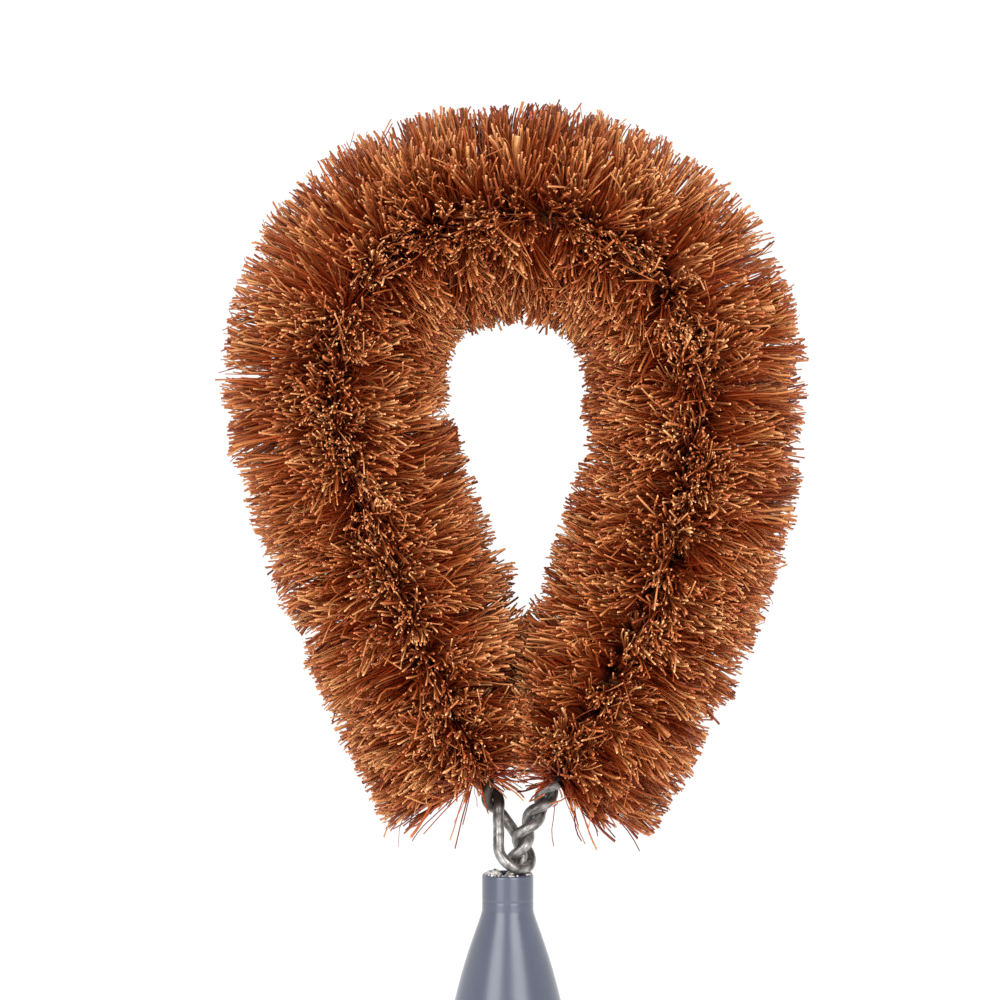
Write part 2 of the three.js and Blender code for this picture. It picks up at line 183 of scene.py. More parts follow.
class StageSettings(bpy.types.PropertyGroup):
    """Floor, lights and camera."""

    camera_distance: length("Camera distance", "From the camera to the brush", 0.7)
    camera_pitch: amount("Camera pitch", "How far the camera looks down", math.radians(2.4), "ANGLE")
    view_height: length("View height", "Height of the picture at the brush", 0.18)
    view_x: length("View x", "Place of the picture's middle across", -1.4 * MM)
    view_z: length("View z", "Place of the picture's middle above the floor", 197.5 * MM)
    room: amount("Room", "Strength of the even light from the viewer's side", 0.7)
    backdrop: amount("Backdrop", "Strength of the white light from behind", 1.45)
    key: amount("Key", "Power of the soft light on the left", 9.7, "POWER")
    fill: amount("Fill", "Power of the soft light on the right", 9.7, "POWER")
    front: amount("Front", "Power of the weak light from the viewer's side", 6.2, "POWER")
    floor: colour("Floor", "Colour of the floor", "f6f6f5")


class BrushSettings(bpy.types.PropertyGroup):
    """All settings of the brush."""

    handle: PointerProperty(type=HandleSettings)
    wire: PointerProperty(type=WireSettings)
    fibre: PointerProperty(type=FibreSettings)
    stage: PointerProperty(type=StageSettings)


# Array helpers


def unit(vectors):
    """Each vector divided by its own length."""
    return vectors / np.linalg.norm(vectors, axis=-1, keepdims=True)


def smooth_step(values, low, high):
    """0 below low, 1 above high, and 3t squared less 2t cubed between them."""
    t = np.clip((values - low) / (high - low), 0, 1)
    return t * t * (3 - 2 * t)


def bend(start, leaving, end, entering, count=240):
    """A cubic Bezier line, as points, that leaves start along one arrow and enters end along another."""
    t = np.linspace(0, 1, count)[:, None]
    first, last = start + leaving, end - entering
    return (1 - t) ** 3 * start + 3 * (1 - t) ** 2 * t * first + 3 * (1 - t) * t**2 * last + t**3 * end


def smooth_through(points, per_span):
    """A centripetal Catmull-Rom line through the points. In each span, straight lines between neighbours are
    mixed three times over, with knots spaced by the square root of the distances."""
    p = np.concatenate([2 * points[:1] - points[1:2], points, 2 * points[-1:] - points[-2:-1]])
    knots = np.concatenate([[0], np.cumsum(np.linalg.norm(np.diff(p, axis=0), axis=1) ** 0.5)])
    spans = len(points) - 1
    place = [p[i : i + spans, None] for i in range(4)]
    knot = [knots[i : i + spans, None, None] for i in range(4)]
    t = knot[1] + (knot[2] - knot[1]) * np.linspace(0, 1, per_span, endpoint=False)[None, :, None]

    def mix(a, b, i, j):
        return ((knot[j] - t) * a + (t - knot[i]) * b) / (knot[j] - knot[i])

    lines = [mix(place[i], place[i + 1], i, i + 1) for i in range(3)]
    curves = [mix(lines[i], lines[i + 1], i, i + 2) for i in range(2)]
    found = mix(curves[0], curves[1], 1, 2).reshape(-1, 3)
    return np.concatenate([found, points[-1:]])


def put_mesh(name, points, quads, triangles=None, uv=None, map_name=FIBRE_MAP):
    """A smooth mesh object at the origin from arrays of points, four-cornered and three-cornered faces. uv
    gives each point a place on a named map that the piece's finish reads."""
    triangles = np.zeros((0, 3), int) if triangles is None else triangles
    corners = np.concatenate([quads.ravel(), triangles.ravel()]).astype(np.int32)
    totals = np.concatenate([np.full(len(quads), 4), np.full(len(triangles), 3)]).astype(np.int32)
    starts = np.concatenate([[0], np.cumsum(totals)[:-1]]).astype(np.int32)
    mesh = bpy.data.meshes.new(name)
    mesh.vertices.add(len(points))
    mesh.vertices.foreach_set("co", points.astype(np.float32).ravel())
    mesh.loops.add(len(corners))
    mesh.loops.foreach_set("vertex_index", corners)
    mesh.polygons.add(len(totals))
    mesh.polygons.foreach_set("loop_start", starts)
    mesh.update(calc_edges=True)
    if uv is not None:
        layer = mesh.uv_layers.new(name=map_name)
        layer.uv.foreach_set("vector", uv[corners].astype(np.float32).ravel())
    mesh.validate()
    mesh.shade_smooth()
    made = bpy.data.objects.new(name, mesh)
    bpy.context.scene.collection.objects.link(made)
    return made


def ring_angles(sides):
    """The angles of a ring's points."""
    return np.linspace(0, 2 * math.pi, sides, endpoint=False)


def grid_faces(rows, columns):
    """Four-cornered faces of rings of points, row after row, whose last column joins the first."""
    row = np.arange(rows - 1)[:, None] * columns
    column = np.arange(columns)[None, :]
    after = (column + 1) % columns
    corners = [row + column, row + after, row + columns + after, row + columns + column]
    return np.stack(corners, -1).reshape(-1, 4)


def put_tube(name, rings, middles, inside_out=False, uv=None, map_name=FIBRE_MAP):
    """A closed mesh of rings of points, row after row, with a fan from each end ring to its middle."""
    rows, sides = rings.shape[:2]
    quads = grid_faces(rows, sides)
    ring, middle, last = np.arange(sides), np.full(sides, rows * sides), (rows - 1) * sides
    after = np.roll(ring, -1)
    fans = np.concatenate([
        np.stack([middle, after, ring], -1),
        np.stack([last + ring, last + after, middle + 1], -1),
    ])
    if inside_out:
        quads, fans = quads[:, ::-1], fans[:, ::-1]
    return put_mesh(name, np.concatenate([rings.reshape(-1, 3), middles]), quads, fans, uv, map_name)


def seat(piece, finish, slot, *nodes):
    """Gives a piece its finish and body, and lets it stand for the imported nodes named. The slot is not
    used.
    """
    piece.data.materials.clear()
    piece.data.materials.append(finish)
    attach(piece, BODY)
    if nodes:
        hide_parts(*nodes)


# The line that the twisted pair follows


class CoreLine:
    """The core line by its run in metres, from the tail's end over the crown to the throat."""

    def __init__(self):
        up = np.array([0.0, 0.0, 1.0])
        crown_rise = up * (LOOP_HEIGHT - WAIST_HEIGHT)
        crown_run = np.array([-LOOP_HALF_WIDTH, 0, 0])
        third = up * TAIL_BEND / 3
        tail_end, tail_top = -up * TAIL_DEPTH, -up * TAIL_BEND
        right_waist = np.array([LOOP_OFFSET + LOOP_HALF_WIDTH, 0, WAIST_HEIGHT])
        crown = np.array([LOOP_OFFSET, 0, LOOP_HEIGHT])
        left_waist = np.array([LOOP_OFFSET - LOOP_HALF_WIDTH, 0, WAIST_HEIGHT])
        rise_in = unit(RIGHT_LEG_RISE) * TAIL_BEND / 3
        mouth_rise = unit(CROSSING - tail_top) * TAIL_BEND / 3
        stretches = [
            bend(tail_end, third, tail_top, third),
            bend(tail_top, third, MOUTH_LEAN, mouth_rise),
            bend(MOUTH_LEAN, mouth_rise, CROSSING, rise_in),
            bend(CROSSING, RIGHT_LEG_RISE, right_waist, up * RIGHT_WAIST_RUN),
            bend(right_waist, crown_rise * CROWN_FULLNESS, crown, crown_run * CROWN_FULLNESS),
            bend(crown, crown_run * LEFT_CROWN_FULLNESS, left_waist, -crown_rise * LEFT_CROWN_FULLNESS),
            bend(left_waist, -up * LEFT_WAIST_RUN, THROAT, -LEFT_LEG_RISE),
        ]
        self.points = np.concatenate([stretches[0][:1]] + [stretch[1:] for stretch in stretches]) + MOUTH
        steps = np.linalg.norm(np.diff(self.points, axis=0), axis=1)
        self.runs = np.concatenate([[0], np.cumsum(steps)])
        ends = self.runs[np.cumsum([len(stretch) - 1 for stretch in stretches])]
        self.mouth_run, self.right_waist, self.crown, self.left_waist = ends[[1, 3, 4, 5]]
        self.length = ends[-1]
        self.first_fibre = self.mouth_run + RIGHT_FOOT
        self.last_fibre = self.length - LEFT_FOOT

    def at(self, run):
        """The point at a run, the direction there, and two axes across it: side axis times direction, and
        direction times that."""
        run = np.clip(run, 0, self.length)
        slopes = np.gradient(self.points, self.runs, axis=0)
        point = np.stack([np.interp(run, self.runs, self.points[:, i]) for i in range(3)], -1)
        along = unit(np.stack([np.interp(run, self.runs, slopes[:, i]) for i in range(3)], -1))
        across = unit(np.cross(SIDE_AXIS, along))
        return point, along, across, np.cross(along, across)

    def twist(self, run):
        """The twist's angle at a run. The first half lies towards the viewer at the throat."""
        return 2 * math.pi * (run - self.length) / TWIST_PITCH - math.pi / 2


# Finishes


def add_node(tree, kind, links=(), inputs=(), stops=(), **settings):
    """Adds a shader node with its own settings, values and links by socket, and for a colour ramp its stops,
    which are places with linear colours."""
    node = tree.nodes.new("ShaderNode" + kind)
    for name, value in settings.items():
        setattr(node, name, value)
    for socket, value in dict(inputs).items():
        node.inputs[socket].default_value = value
    for socket, output in dict(links).items():
        tree.links.new(output, node.inputs[socket])
    if stops:
        ramp = node.color_ramp
        while len(ramp.elements) < len(stops):
            ramp.elements.new(1.0)
        for element, (place, shade) in zip(ramp.elements, stops):
            element.position = place
            element.color = (*shade, 1)
    return node


def new_finish(name):
    """An empty material and its node tree."""
    finish = bpy.data.materials.new(name)
    finish.use_nodes = True
    finish.node_tree.nodes.clear()
    return finish, finish.node_tree


def palm_fibre_finish(fibre):
    """Split palm fibre, cut to length: a waxy strand, pale where it is cut. No two strands have quite the
    same colour. Along the strand it runs red-brown near the wire, darkest halfway out and golden tan further
    out: the red-brown and the dark are painted shade of the fibres' depths, and the golden tan is partly the
    fibre's own colour and partly painted light shining through the outer lengths. The map's first axis picks
    a strand's own shade, and its second runs from the wire to the cut end."""
    finish, tree = new_finish("palm_fibre_split_and_trimmed")
    place = add_node(tree, "UVMap", uv_map=FIBRE_MAP)
    axes = add_node(tree, "SeparateXYZ", links={"Vector": place.outputs["UV"]})
    # Painted shade and light along the fibre: red-brown and darkest deep in, golden tan outside
    length_tone_and_painted_light = add_node(
        tree, "ValToRGB", links={"Fac": axes.outputs["Y"]},
        stops=[
            (0.08, fibre.root),
            (0.55, fibre.middle),
            (0.93, fibre.outer),
            (0.995, fibre.outer),
            (1.0, fibre.cut_end),
        ],
    )
    shade_ramp = add_node(
        tree, "ValToRGB", links={"Fac": axes.outputs["X"]},
        stops=[
            (0.0, linear("6f361a")),
            (0.3, linear("af714e")),
            (0.55, linear("d5a485")),
            (0.8, linear("eed4bf")),
            (1.0, linear("fdf3e7")),
        ],
    )
    tone = add_node(
        tree, "Mix", data_type="RGBA", blend_type="MULTIPLY", inputs={0: 1.0},
        links={6: length_tone_and_painted_light.outputs["Color"], 7: shade_ramp.outputs["Color"]},
    )
    strand = add_node(
        tree, "BsdfPrincipled", links={"Base Color": tone.outputs[2]},
        inputs={"Roughness": 0.4, "Specular IOR Level": 0.2},
    )
    add_node(tree, "OutputMaterial", links={"Surface": strand.outputs["BSDF"]})
    return finish


def galvanised_finish(wire):
    """Hot-dip galvanised steel wire: a dull silver skin with darker, rougher weathered patches a millimetre
    or two across, and fine streaks along it from drawing. Where it runs up into the fibres it has a brown
    tarnish, strong on the left leg and faint on the right. Where they hold it, it is dark brown and matt:
    fibre dust, with painted shade of the depths among the fibres."""
    finish, tree = new_finish("galvanised_steel_wire_drawn")
    place = add_node(tree, "TexCoord").outputs["Object"]
    patches = add_node(
        tree, "TexNoise", links={"Vector": place},
        inputs={"Scale": 1 / (1.6 * MM), "Detail": 4.0, "Roughness": 0.6},
    ).outputs["Fac"]
    drawn = add_node(tree, "UVMap", uv_map=WIRE_MAP).outputs["UV"]
    stretched = add_node(
        tree, "Mapping", links={"Vector": drawn}, inputs={"Scale": (1 / (0.3 * MM), 1 / (5 * MM), 1)}
    ).outputs["Vector"]
    grain = add_node(
        tree, "TexNoise", links={"Vector": stretched}, inputs={"Scale": 1.0, "Detail": 3.0}
    ).outputs["Fac"]
    mottle = add_node(
        tree, "Math", operation="MULTIPLY_ADD", links={0: grain, 2: patches}, inputs={1: 0.5}
    ).outputs["Value"]
    skin = add_node(
        tree, "ValToRGB", links={"Fac": mottle}, stops=[(0.58, wire.zinc_dull), (0.92, wire.zinc)]
    ).outputs["Color"]
    axes = add_node(tree, "SeparateXYZ", links={"Vector": place}).outputs
    rise, dust_and_shade_mask = [
        add_node(
            tree, "MapRange", links={"Value": axes["Z"]}, interpolation_type="SMOOTHSTEP",
            inputs={"From Min": HANDLE_LENGTH + low, "From Max": HANDLE_LENGTH + high},
        ).outputs["Result"]
        for low, high in (TARNISH_RISE, DUST_AND_SHADE_RISE)
    ]
    (low, high), (left, right) = LEG_CHANGE, LEG_TARNISH
    side = add_node(
        tree, "MapRange", links={"Value": axes["X"]}, interpolation_type="SMOOTHSTEP",
        inputs={"From Min": low, "From Max": high, "To Min": left, "To Max": right},
    ).outputs["Result"]
    stain = add_node(tree, "Math", operation="MULTIPLY", links={0: rise, 1: side}).outputs["Value"]
    # Tarnish, then fibre dust and painted shade of the fibres' depths where they hold the wire
    for cover, shade in ((stain, wire.tarnish), (dust_and_shade_mask, wire.dust_and_shade)):
        skin = add_node(
            tree, "Mix", data_type="RGBA", inputs={7: (*shade, 1)}, links={0: cover, 6: skin}
        ).outputs[2]
    gloss = add_node(
        tree, "MapRange", links={"Value": patches},
        inputs={"From Min": 0.3, "From Max": 0.7, "To Min": 0.48, "To Max": 0.28},
    ).outputs["Result"]
    roughness = add_node(tree, "Math", operation="MAXIMUM", links={0: gloss, 1: dust_and_shade_mask})
    bare_metal = add_node(tree, "MapRange", links={"Value": dust_and_shade_mask}, inputs={"To Min": 0.8, "To Max": 0.0})
    dents = add_node(tree, "Bump", links={"Height": grain}, inputs={"Strength": 0.6, "Distance": 0.05 * MM})
    metal = add_node(
        tree, "BsdfPrincipled",
        links={
            "Base Color": skin,
            "Metallic": bare_metal.outputs["Result"],
            "Roughness": roughness.outputs["Value"],
            "Normal": dents.outputs["Normal"],
        },
    )
    add_node(tree, "OutputMaterial", links={"Surface": metal.outputs["BSDF"]})
    return finish


def moulded_plastic_finish(handle):
    """Injection-moulded ABS plastic in slate blue-grey: an even colour with faint clouds from the melt, a
    satin skin that spreads highlights softly, and the slight orange peel of a polished mould."""
    finish, tree = new_finish("moulded_abs_satin")
    place = add_node(tree, "TexCoord").outputs["Object"]
    clouds = add_node(
        tree, "TexNoise", links={"Vector": place}, inputs={"Scale": 1 / (14 * MM), "Detail": 3.0}
    ).outputs["Fac"]
    peel = add_node(
        tree, "TexNoise", links={"Vector": place}, inputs={"Scale": 1 / (0.9 * MM), "Detail": 2.0}
    ).outputs["Fac"]
    tone = add_node(
        tree, "ValToRGB", links={"Fac": clouds}, stops=[(0.3, handle.plastic_deep), (0.7, handle.plastic)]
    ).outputs["Color"]
    roughness = add_node(
        tree, "MapRange", links={"Value": clouds},
        inputs={"From Min": 0.3, "From Max": 0.7, "To Min": 0.3, "To Max": 0.26},
    ).outputs["Result"]
    skin = add_node(tree, "Bump", links={"Height": peel}, inputs={"Strength": 0.12, "Distance": 0.05 * MM})
    plastic = add_node(
        tree, "BsdfPrincipled", inputs={"IOR": 1.54},
        links={"Base Color": tone, "Roughness": roughness, "Normal": skin.outputs["Normal"]},
    )
    add_node(tree, "OutputMaterial", links={"Surface": plastic.outputs["BSDF"]})
    return finish


def set_glue_finish(handle):
    """Set filled adhesive: chalky grey-white with a dull, crumbly skin, darkened to grey in the hollows of
    its bump by painted shade.
    """
    finish, tree = new_finish("filled_adhesive_set")
    place = add_node(tree, "TexCoord").outputs["Object"]
    crumbs = add_node(
        tree, "TexNoise", links={"Vector": place}, inputs={"Scale": 1 / (0.6 * MM), "Detail": 4.0}
    ).outputs["Fac"]
    # Painted shade: dark grey where the crumbs sink, in the hollows of the bump below
    tone = add_node(
        tree, "ValToRGB", links={"Fac": crumbs}, stops=[(0.35, linear("504b47")), (0.6, handle.glue)]
    ).outputs["Color"]
    skin = add_node(tree, "Bump", links={"Height": crumbs}, inputs={"Strength": 0.6, "Distance": 0.1 * MM})
    glue = add_node(
        tree, "BsdfPrincipled", inputs={"Roughness": 0.7},
        links={"Base Color": tone, "Normal": skin.outputs["Normal"]},
    )
    add_node(tree, "OutputMaterial", links={"Surface": glue.outputs["BSDF"]})
    return finish


# Handle


def arc(middle, radius, start, end, count):
    """Points of a circle's arc in the plane of radius and height, between two angles in degrees."""
    angle = np.radians(np.linspace(start, end, count))
    return middle + radius * np.stack([np.cos(angle), np.sin(angle)], -1)


def handle_outline(handle):
    """The handle's outline as radius and height: flat butt, rounded end, slow taper out to the grip, flare
    in to the neck, the neck with its fine line, the rounded rim, and back down the socket to its floor."""
    pole, lip_round, line_width = 0.2 * MM, 0.25 * MM, 0.22 * MM
    taper_pull = np.array([0, (GRIP_HEIGHT - BUTT_ROUND) / 3])
    neck_foot = HANDLE_LENGTH - NECK_LENGTH
    butt_reach = np.linspace(pole, BUTT_RADIUS - BUTT_ROUND, 12, endpoint=False)
    butt = np.stack([butt_reach, np.zeros_like(butt_reach)], -1)
    end = arc(np.array([BUTT_RADIUS - BUTT_ROUND, BUTT_ROUND]), BUTT_ROUND, -90, 0, count=12)
    grip = np.array([GRIP_RADIUS, GRIP_HEIGHT])
    taper = bend(np.array([BUTT_RADIUS, BUTT_ROUND]), taper_pull, grip, taper_pull, count=70)
    flare = bend(
        grip, np.array([0, FLARE_END_PULL]),
        np.array([NECK_RADIUS, neck_foot]), np.array([0, FLARE_START_PULL]), count=60,
    )
    neck_height = np.linspace(neck_foot, HANDLE_LENGTH - RIM_ROUND, 70)
    line = np.exp(-(((neck_height - HANDLE_LENGTH + handle.line_drop) / line_width) ** 2))
    neck = np.stack([NECK_RADIUS - handle.line_depth * line, neck_height], -1)
    rim = arc(np.array([NECK_RADIUS - RIM_ROUND, HANDLE_LENGTH - RIM_ROUND]), RIM_ROUND, 0, 90, count=7)
    lip = arc(np.array([SOCKET_RADIUS + lip_round, HANDLE_LENGTH - lip_round]), lip_round, 90, 180, count=5)
    floor = HANDLE_LENGTH - SOCKET_DEPTH
    wall_height = np.linspace(HANDLE_LENGTH - lip_round, floor, 30)[1:]
    wall = np.stack([np.full_like(wall_height, SOCKET_RADIUS), wall_height], -1)
    floor_reach = np.linspace(SOCKET_RADIUS, pole, 6)[1:]
    bottom = np.stack([floor_reach, np.full_like(floor_reach, floor)], -1)
    return np.concatenate([butt, end, taper[1:], flare[1:], neck[1:], rim[1:], lip, wall, bottom])


def hang_flat_depth(height):
    """How far from the axis the hang flats leave material at a height: level, then an S-curve out past the
    round surface."""
    past_grip = 1.5 * MM
    clear = GRIP_RADIUS + past_grip
    return HANG_FLAT + (clear - HANG_FLAT) * smooth_step(height, HANG_FLAT_TOP, HANG_FADE_END)


def make_handle_mesh(handle):
    """The outline carried round the axis, with each point's y drawn in to the hang flats by a soft minimum
    of the two: half of their sum less the root of their squared difference plus the squared edge round. What
    that gives on the axis is taken off."""
    sides = 160
    outline = handle_outline(handle)
    radius, height = outline[:, :1], outline[:, 1:]
    angle = ring_angles(sides)[None, :]
    x, y = radius * np.cos(angle), radius * np.sin(angle)
    depth = hang_flat_depth(height)
    gap = np.abs(y) - depth
    drawn_in = (np.abs(y) + depth - np.sqrt(gap**2 + handle.edge_round**2)) / 2
    settled = (depth - np.sqrt(depth**2 + handle.edge_round**2)) / 2
    y = np.where(height < HANG_FADE_END, np.sign(y) * np.maximum(drawn_in - settled, 0), y)
    rings = np.stack([x, y, np.broadcast_to(height, x.shape)], -1)
    middles = np.array([[0, 0, outline[0, 1]], [0, 0, outline[-1, 1]]])
    return put_tube("handle_moulding", rings, middles)


def make_hole_cutter():
    """A spool along Y for the hang hole: a round bar that flares as a quarter circle at each flat."""
    sides, flare_steps = 64, 9
    rim, overshoot = 0.9 * MM, 3 * MM
    flare = np.linspace(HANG_FLAT - rim, HANG_FLAT, flare_steps)
    half = np.concatenate([[0], flare, [HANG_FLAT + overshoot]])
    reach = np.concatenate([-half[:0:-1], half])
    into = np.clip(np.abs(reach) - (HANG_FLAT - rim), 0, rim)
    radius = (HANG_HOLE_RADIUS + rim - np.sqrt(rim**2 - into**2))[:, None]
    angle = ring_angles(sides)[None, :]
    x, z = radius * np.cos(angle), radius * np.sin(angle) + HANG_HOLE_HEIGHT
    rings = np.stack([x, np.broadcast_to(reach[:, None], x.shape), z], -1)
    middles = np.array([[0, reach[0], HANG_HOLE_HEIGHT], [0, reach[-1], HANG_HOLE_HEIGHT]])
    return put_tube("hang_hole_cutter", rings, middles, inside_out=True)


class BRUSH_OT_handle(bpy.types.Operator):
    """Turns the moulded handle with its neck line, socket, hang flats and hang hole"""

    bl_idname = "brush.handle"
    bl_label = "Handle"

    def execute(self, context):
        settings = context.scene.brush.handle
        handle = make_handle_mesh(settings)
        cutter = make_hole_cutter()
        cut = handle.modifiers.new("hang_hole", "BOOLEAN")
        cut.operation, cut.solver, cut.object = "DIFFERENCE", "EXACT", cutter
        whole = bpy.data.meshes.new_from_object(handle.evaluated_get(context.evaluated_depsgraph_get()))
        handle.modifiers.clear()
        handle.data = whole
        bpy.data.objects.remove(cutter)
        whole.shade_smooth()
        whole.set_sharp_from_angle(angle=SHARP_EDGE)
        seat(handle, moulded_plastic_finish(settings), "handle_plastic", "handle")
        return {"FINISHED"}


# Glue in the socket, and its crust at the mouth


def make_glue_mesh():
    """A plug turned about the axis. Its top sinks as a meniscus, by the root of the share of the way in, and
    is pitted by a wave round the axis times a wave outward."""
    sides, pole = 48, 0.1 * MM
    outer, lowest, top = 3.15 * MM, 84.3 * MM, 121 * MM
    sink, pit_depth, pitted_zone = 1.2 * MM, 0.15 * MM, 1.5 * MM
    pit_rate = 900  # radians of the outward wave in a metre
    inward = np.linspace(0, 1, 12)
    outline = np.concatenate([
        np.stack([np.linspace(pole, outer, 5), np.full(5, lowest)], -1),
        np.stack([np.full(8, outer), np.linspace(lowest, top, 9)[1:]], -1),
        np.stack([outer - (outer - pole) * inward, top - sink * inward**0.5], -1)[1:],
    ])
    angle = ring_angles(sides)[None, :]
    radius, height = outline[:, :1], outline[:, 1:]
    pits = pit_depth * np.sin(5 * angle) * np.cos(pit_rate * radius + 2 * angle)
    pits = pits * (height > top - pitted_zone)
    x, y = radius * np.cos(angle), radius * np.sin(angle)
    middles = np.array([[0, 0, lowest], [0, 0, outline[-1, 1]]])
    return put_tube("socket_glue", np.stack([x, y, height + pits], -1), middles)


def make_crust_mesh(seed=3):
    """Flakes of glue on the mouth: each a flattened ball, sunk a little into the rim, with three waves of
    random phase on its radius. The first ones heap up at the left of the mouth, the next make a ragged line
    along the front of the rim, and the last lie anywhere round it."""
    rng = np.random.default_rng(seed)
    heap, line, chips = 4, 18, 6
    flakes, rings, sides = heap + line + chips, 7, 10
    lift = 0.35  # of a flake's middle above the rim, as a share of its half height

    def each(*ranges):
        """A random number for every flake, from the ranges for the heap, the line and the chips."""
        drawn = [rng.uniform(low, high, count) for count, (low, high) in zip((heap, line, chips), ranges)]
        return np.concatenate(drawn)[:, None, None]

    polar = np.linspace(0, math.pi, rings)[None, :, None]
    angle = ring_angles(sides)[None, None, :]
    phase = rng.uniform(0, 2 * math.pi, (3, flakes, 1, 1))
    ripple = 1 + 0.22 * np.sin(2 * angle + phase[0]) + 0.16 * np.sin(3 * angle + phase[1] + 2 * polar)
    ripple += 0.1 * np.sin(5 * angle + phase[2])
    size = each((0.7, 1.15), (0.15, 0.36), (0.15, 0.4)) * MM
    flat = each((0.4, 0.8), (0.4, 0.8), (0.3, 0.6))
    around = np.radians(each((190, 240), (200, 340), (0, 360)))
    out = each((2.5, 3.4), (4.2, 4.5), (3.5, 4.3)) * MM
    x = out * np.cos(around) + size * ripple * np.sin(polar) * np.cos(angle)
    y = out * np.sin(around) + size * ripple * np.sin(polar) * np.sin(angle)
    z = HANDLE_LENGTH + size * flat * (np.cos(polar) * ripple + lift)
    points = np.stack([x, y, z], -1).reshape(-1, 3)
    shell = grid_faces(rings, sides)[:, ::-1]
    faces = shell[None] + (np.arange(flakes) * rings * sides)[:, None, None]
    return put_mesh("mouth_crust", points, faces.reshape(-1, 4))


class BRUSH_OT_glue(bpy.types.Operator):
    """Fills the socket with set glue and leaves flakes of it on the rim"""

    bl_idname = "brush.glue"
    bl_label = "Glue"

    def execute(self, context):
        finish = set_glue_finish(context.scene.brush.handle)
        seat(make_glue_mesh(), finish, "set_adhesive", "socket_adhesive")
        seat(make_crust_mesh(), finish, "set_adhesive")
        return {"FINISHED"}


# Wire


def strand(core, run, turn, wire):
    """One half of the wire: the core line moved out by a radius and half the gap, as the twist turns."""
    point, _, across, up = core.at(run)
    angle = (core.twist(run) + turn)[:, None]
    return point + (WIRE_RADIUS + wire.gap / 2) * (across * np.cos(angle) + up * np.sin(angle))


def eye_line(front, back):
    """The eye: most of a ring about the right leg, and a point halfway to each half of the wire."""
    facing = unit(EYE_FACING)
    rightward = unit(np.array([1.0, 0, 0]) - facing * facing[0])
    upward = np.cross(facing, rightward)
    angle = np.radians(np.linspace(EYE_START, EYE_END, EYE_STEPS + 1))[:, None]
    ring = MOUTH + EYE_MIDDLE + EYE_RADIUS * (rightward * np.cos(angle) + upward * np.sin(angle))
    return np.concatenate([[(front + ring[0]) / 2], ring, [(back + ring[-1]) / 2 + EYE_BULGE]])


def make_wire_mesh(wire):
    """A circle carried along the one wire's line: up the first half, round the eye, back down the second.
    Each circle lies on the axes Y times direction and direction times that. On the map, the way round is
    twice the radius times the sine of half the angle, so that the map's two edges meet."""
    core = CoreLine()
    sides, steps_per_turn, splits_per_step = 14, 12, 3
    run = np.linspace(0, core.length, round(core.length / TWIST_PITCH * steps_per_turn) + 1)
    first = strand(core, run, 0, wire)
    second = strand(core, run, math.pi, wire)[::-1]
    straight_end = np.array([[0, 0, -TAIL_STRAIGHT_END]])
    eye = eye_line(first[-1], second[0])
    marks = np.concatenate([first[:1] + straight_end, first, eye, second, second[-1:] + straight_end])
    line = smooth_through(marks, splits_per_step)
    along = unit(np.gradient(line, axis=0))
    across = unit(np.cross(SIDE_AXIS, along))
    up = np.cross(along, across)
    angle = ring_angles(sides)[None, :, None]
    rings = line[:, None] + WIRE_RADIUS * (across[:, None] * np.cos(angle) + up[:, None] * np.sin(angle))
    run_along = np.concatenate([[0], np.cumsum(np.linalg.norm(np.diff(line, axis=0), axis=1))])
    around = WIRE_RADIUS * np.sin(angle[:, :, 0] / 2) * 2
    uv = np.stack(np.broadcast_arrays(around, run_along[:, None]), -1).reshape(-1, 2)
    uv = np.concatenate([uv, uv[[0, -1]]])
    return put_tube("wire_twisted_with_eye", rings, line[[0, -1]], uv=uv, map_name=WIRE_MAP)


class BRUSH_OT_wire(bpy.types.Operator):
    """Twists the galvanised wire round the loop and folds it into its eye"""

    bl_idname = "brush.wire"
    bl_label = "Twisted wire"

    def execute(self, context):
        settings = context.scene.brush.wire
        seat(make_wire_mesh(settings), galvanised_finish(settings), "galvanised_wire", "twisted_wire")
        return {"FINISHED"}


# Fibres

FIBRES_PER_CLUMP = 22
FIBRE_RINGS = np.array([0.07, 0.42, 0.67, 0.81, 0.91, 1.0])  # shares of the length where rings lie
FIBRE_SIDES = 3
FIBRE_ROLL = 40  # radians from the darkest shade to the palest, so that fibres face every way
PIECES_PER_ZONE = 3
GOLDEN_ANGLE = math.pi * (3 - math.sqrt(5))  # spreads the clumps evenly round the wire

# Scatter of the clumps. A spread is one standard deviation, and angles are in radians.
ANYWHERE_SHARE = 0.8  # of the clumps, which lie anywhere round the wire
STUB_SHARE = 0.2  # of the clumps, which are short
SHORT_SHARE = 0.32  # of the clumps, stubs and broken ones together
STUB_LENGTHS = (0.25, 0.7)
BROKEN_LENGTHS = (0.65, 0.95)
STUB_SPLAY = 3.0  # how much more a stub leans and curls
ROW_SPREAD = math.radians(50)
ROUND_SPREAD = 0.3
CLUMP_LEAN = math.radians(7)
CLUMP_LEAN_MOST = 0.3
UPRIGHT_RUN = 8 * MM  # from a foot, over which the clumps' lean grows
UPRIGHT_LEAN = 0.25  # share of their lean that the clumps at a foot keep
CLUMP_LONGER = 0.4 * MM  # mean of a clump's gain
CLUMP_LONGER_SPREAD = 0.3 * MM
CLUMP_SHORTER = 0.5 * MM  # mean of what a clump then loses
CLUMP_CURVE = 0.07
CLUMP_SHADE = 0.15

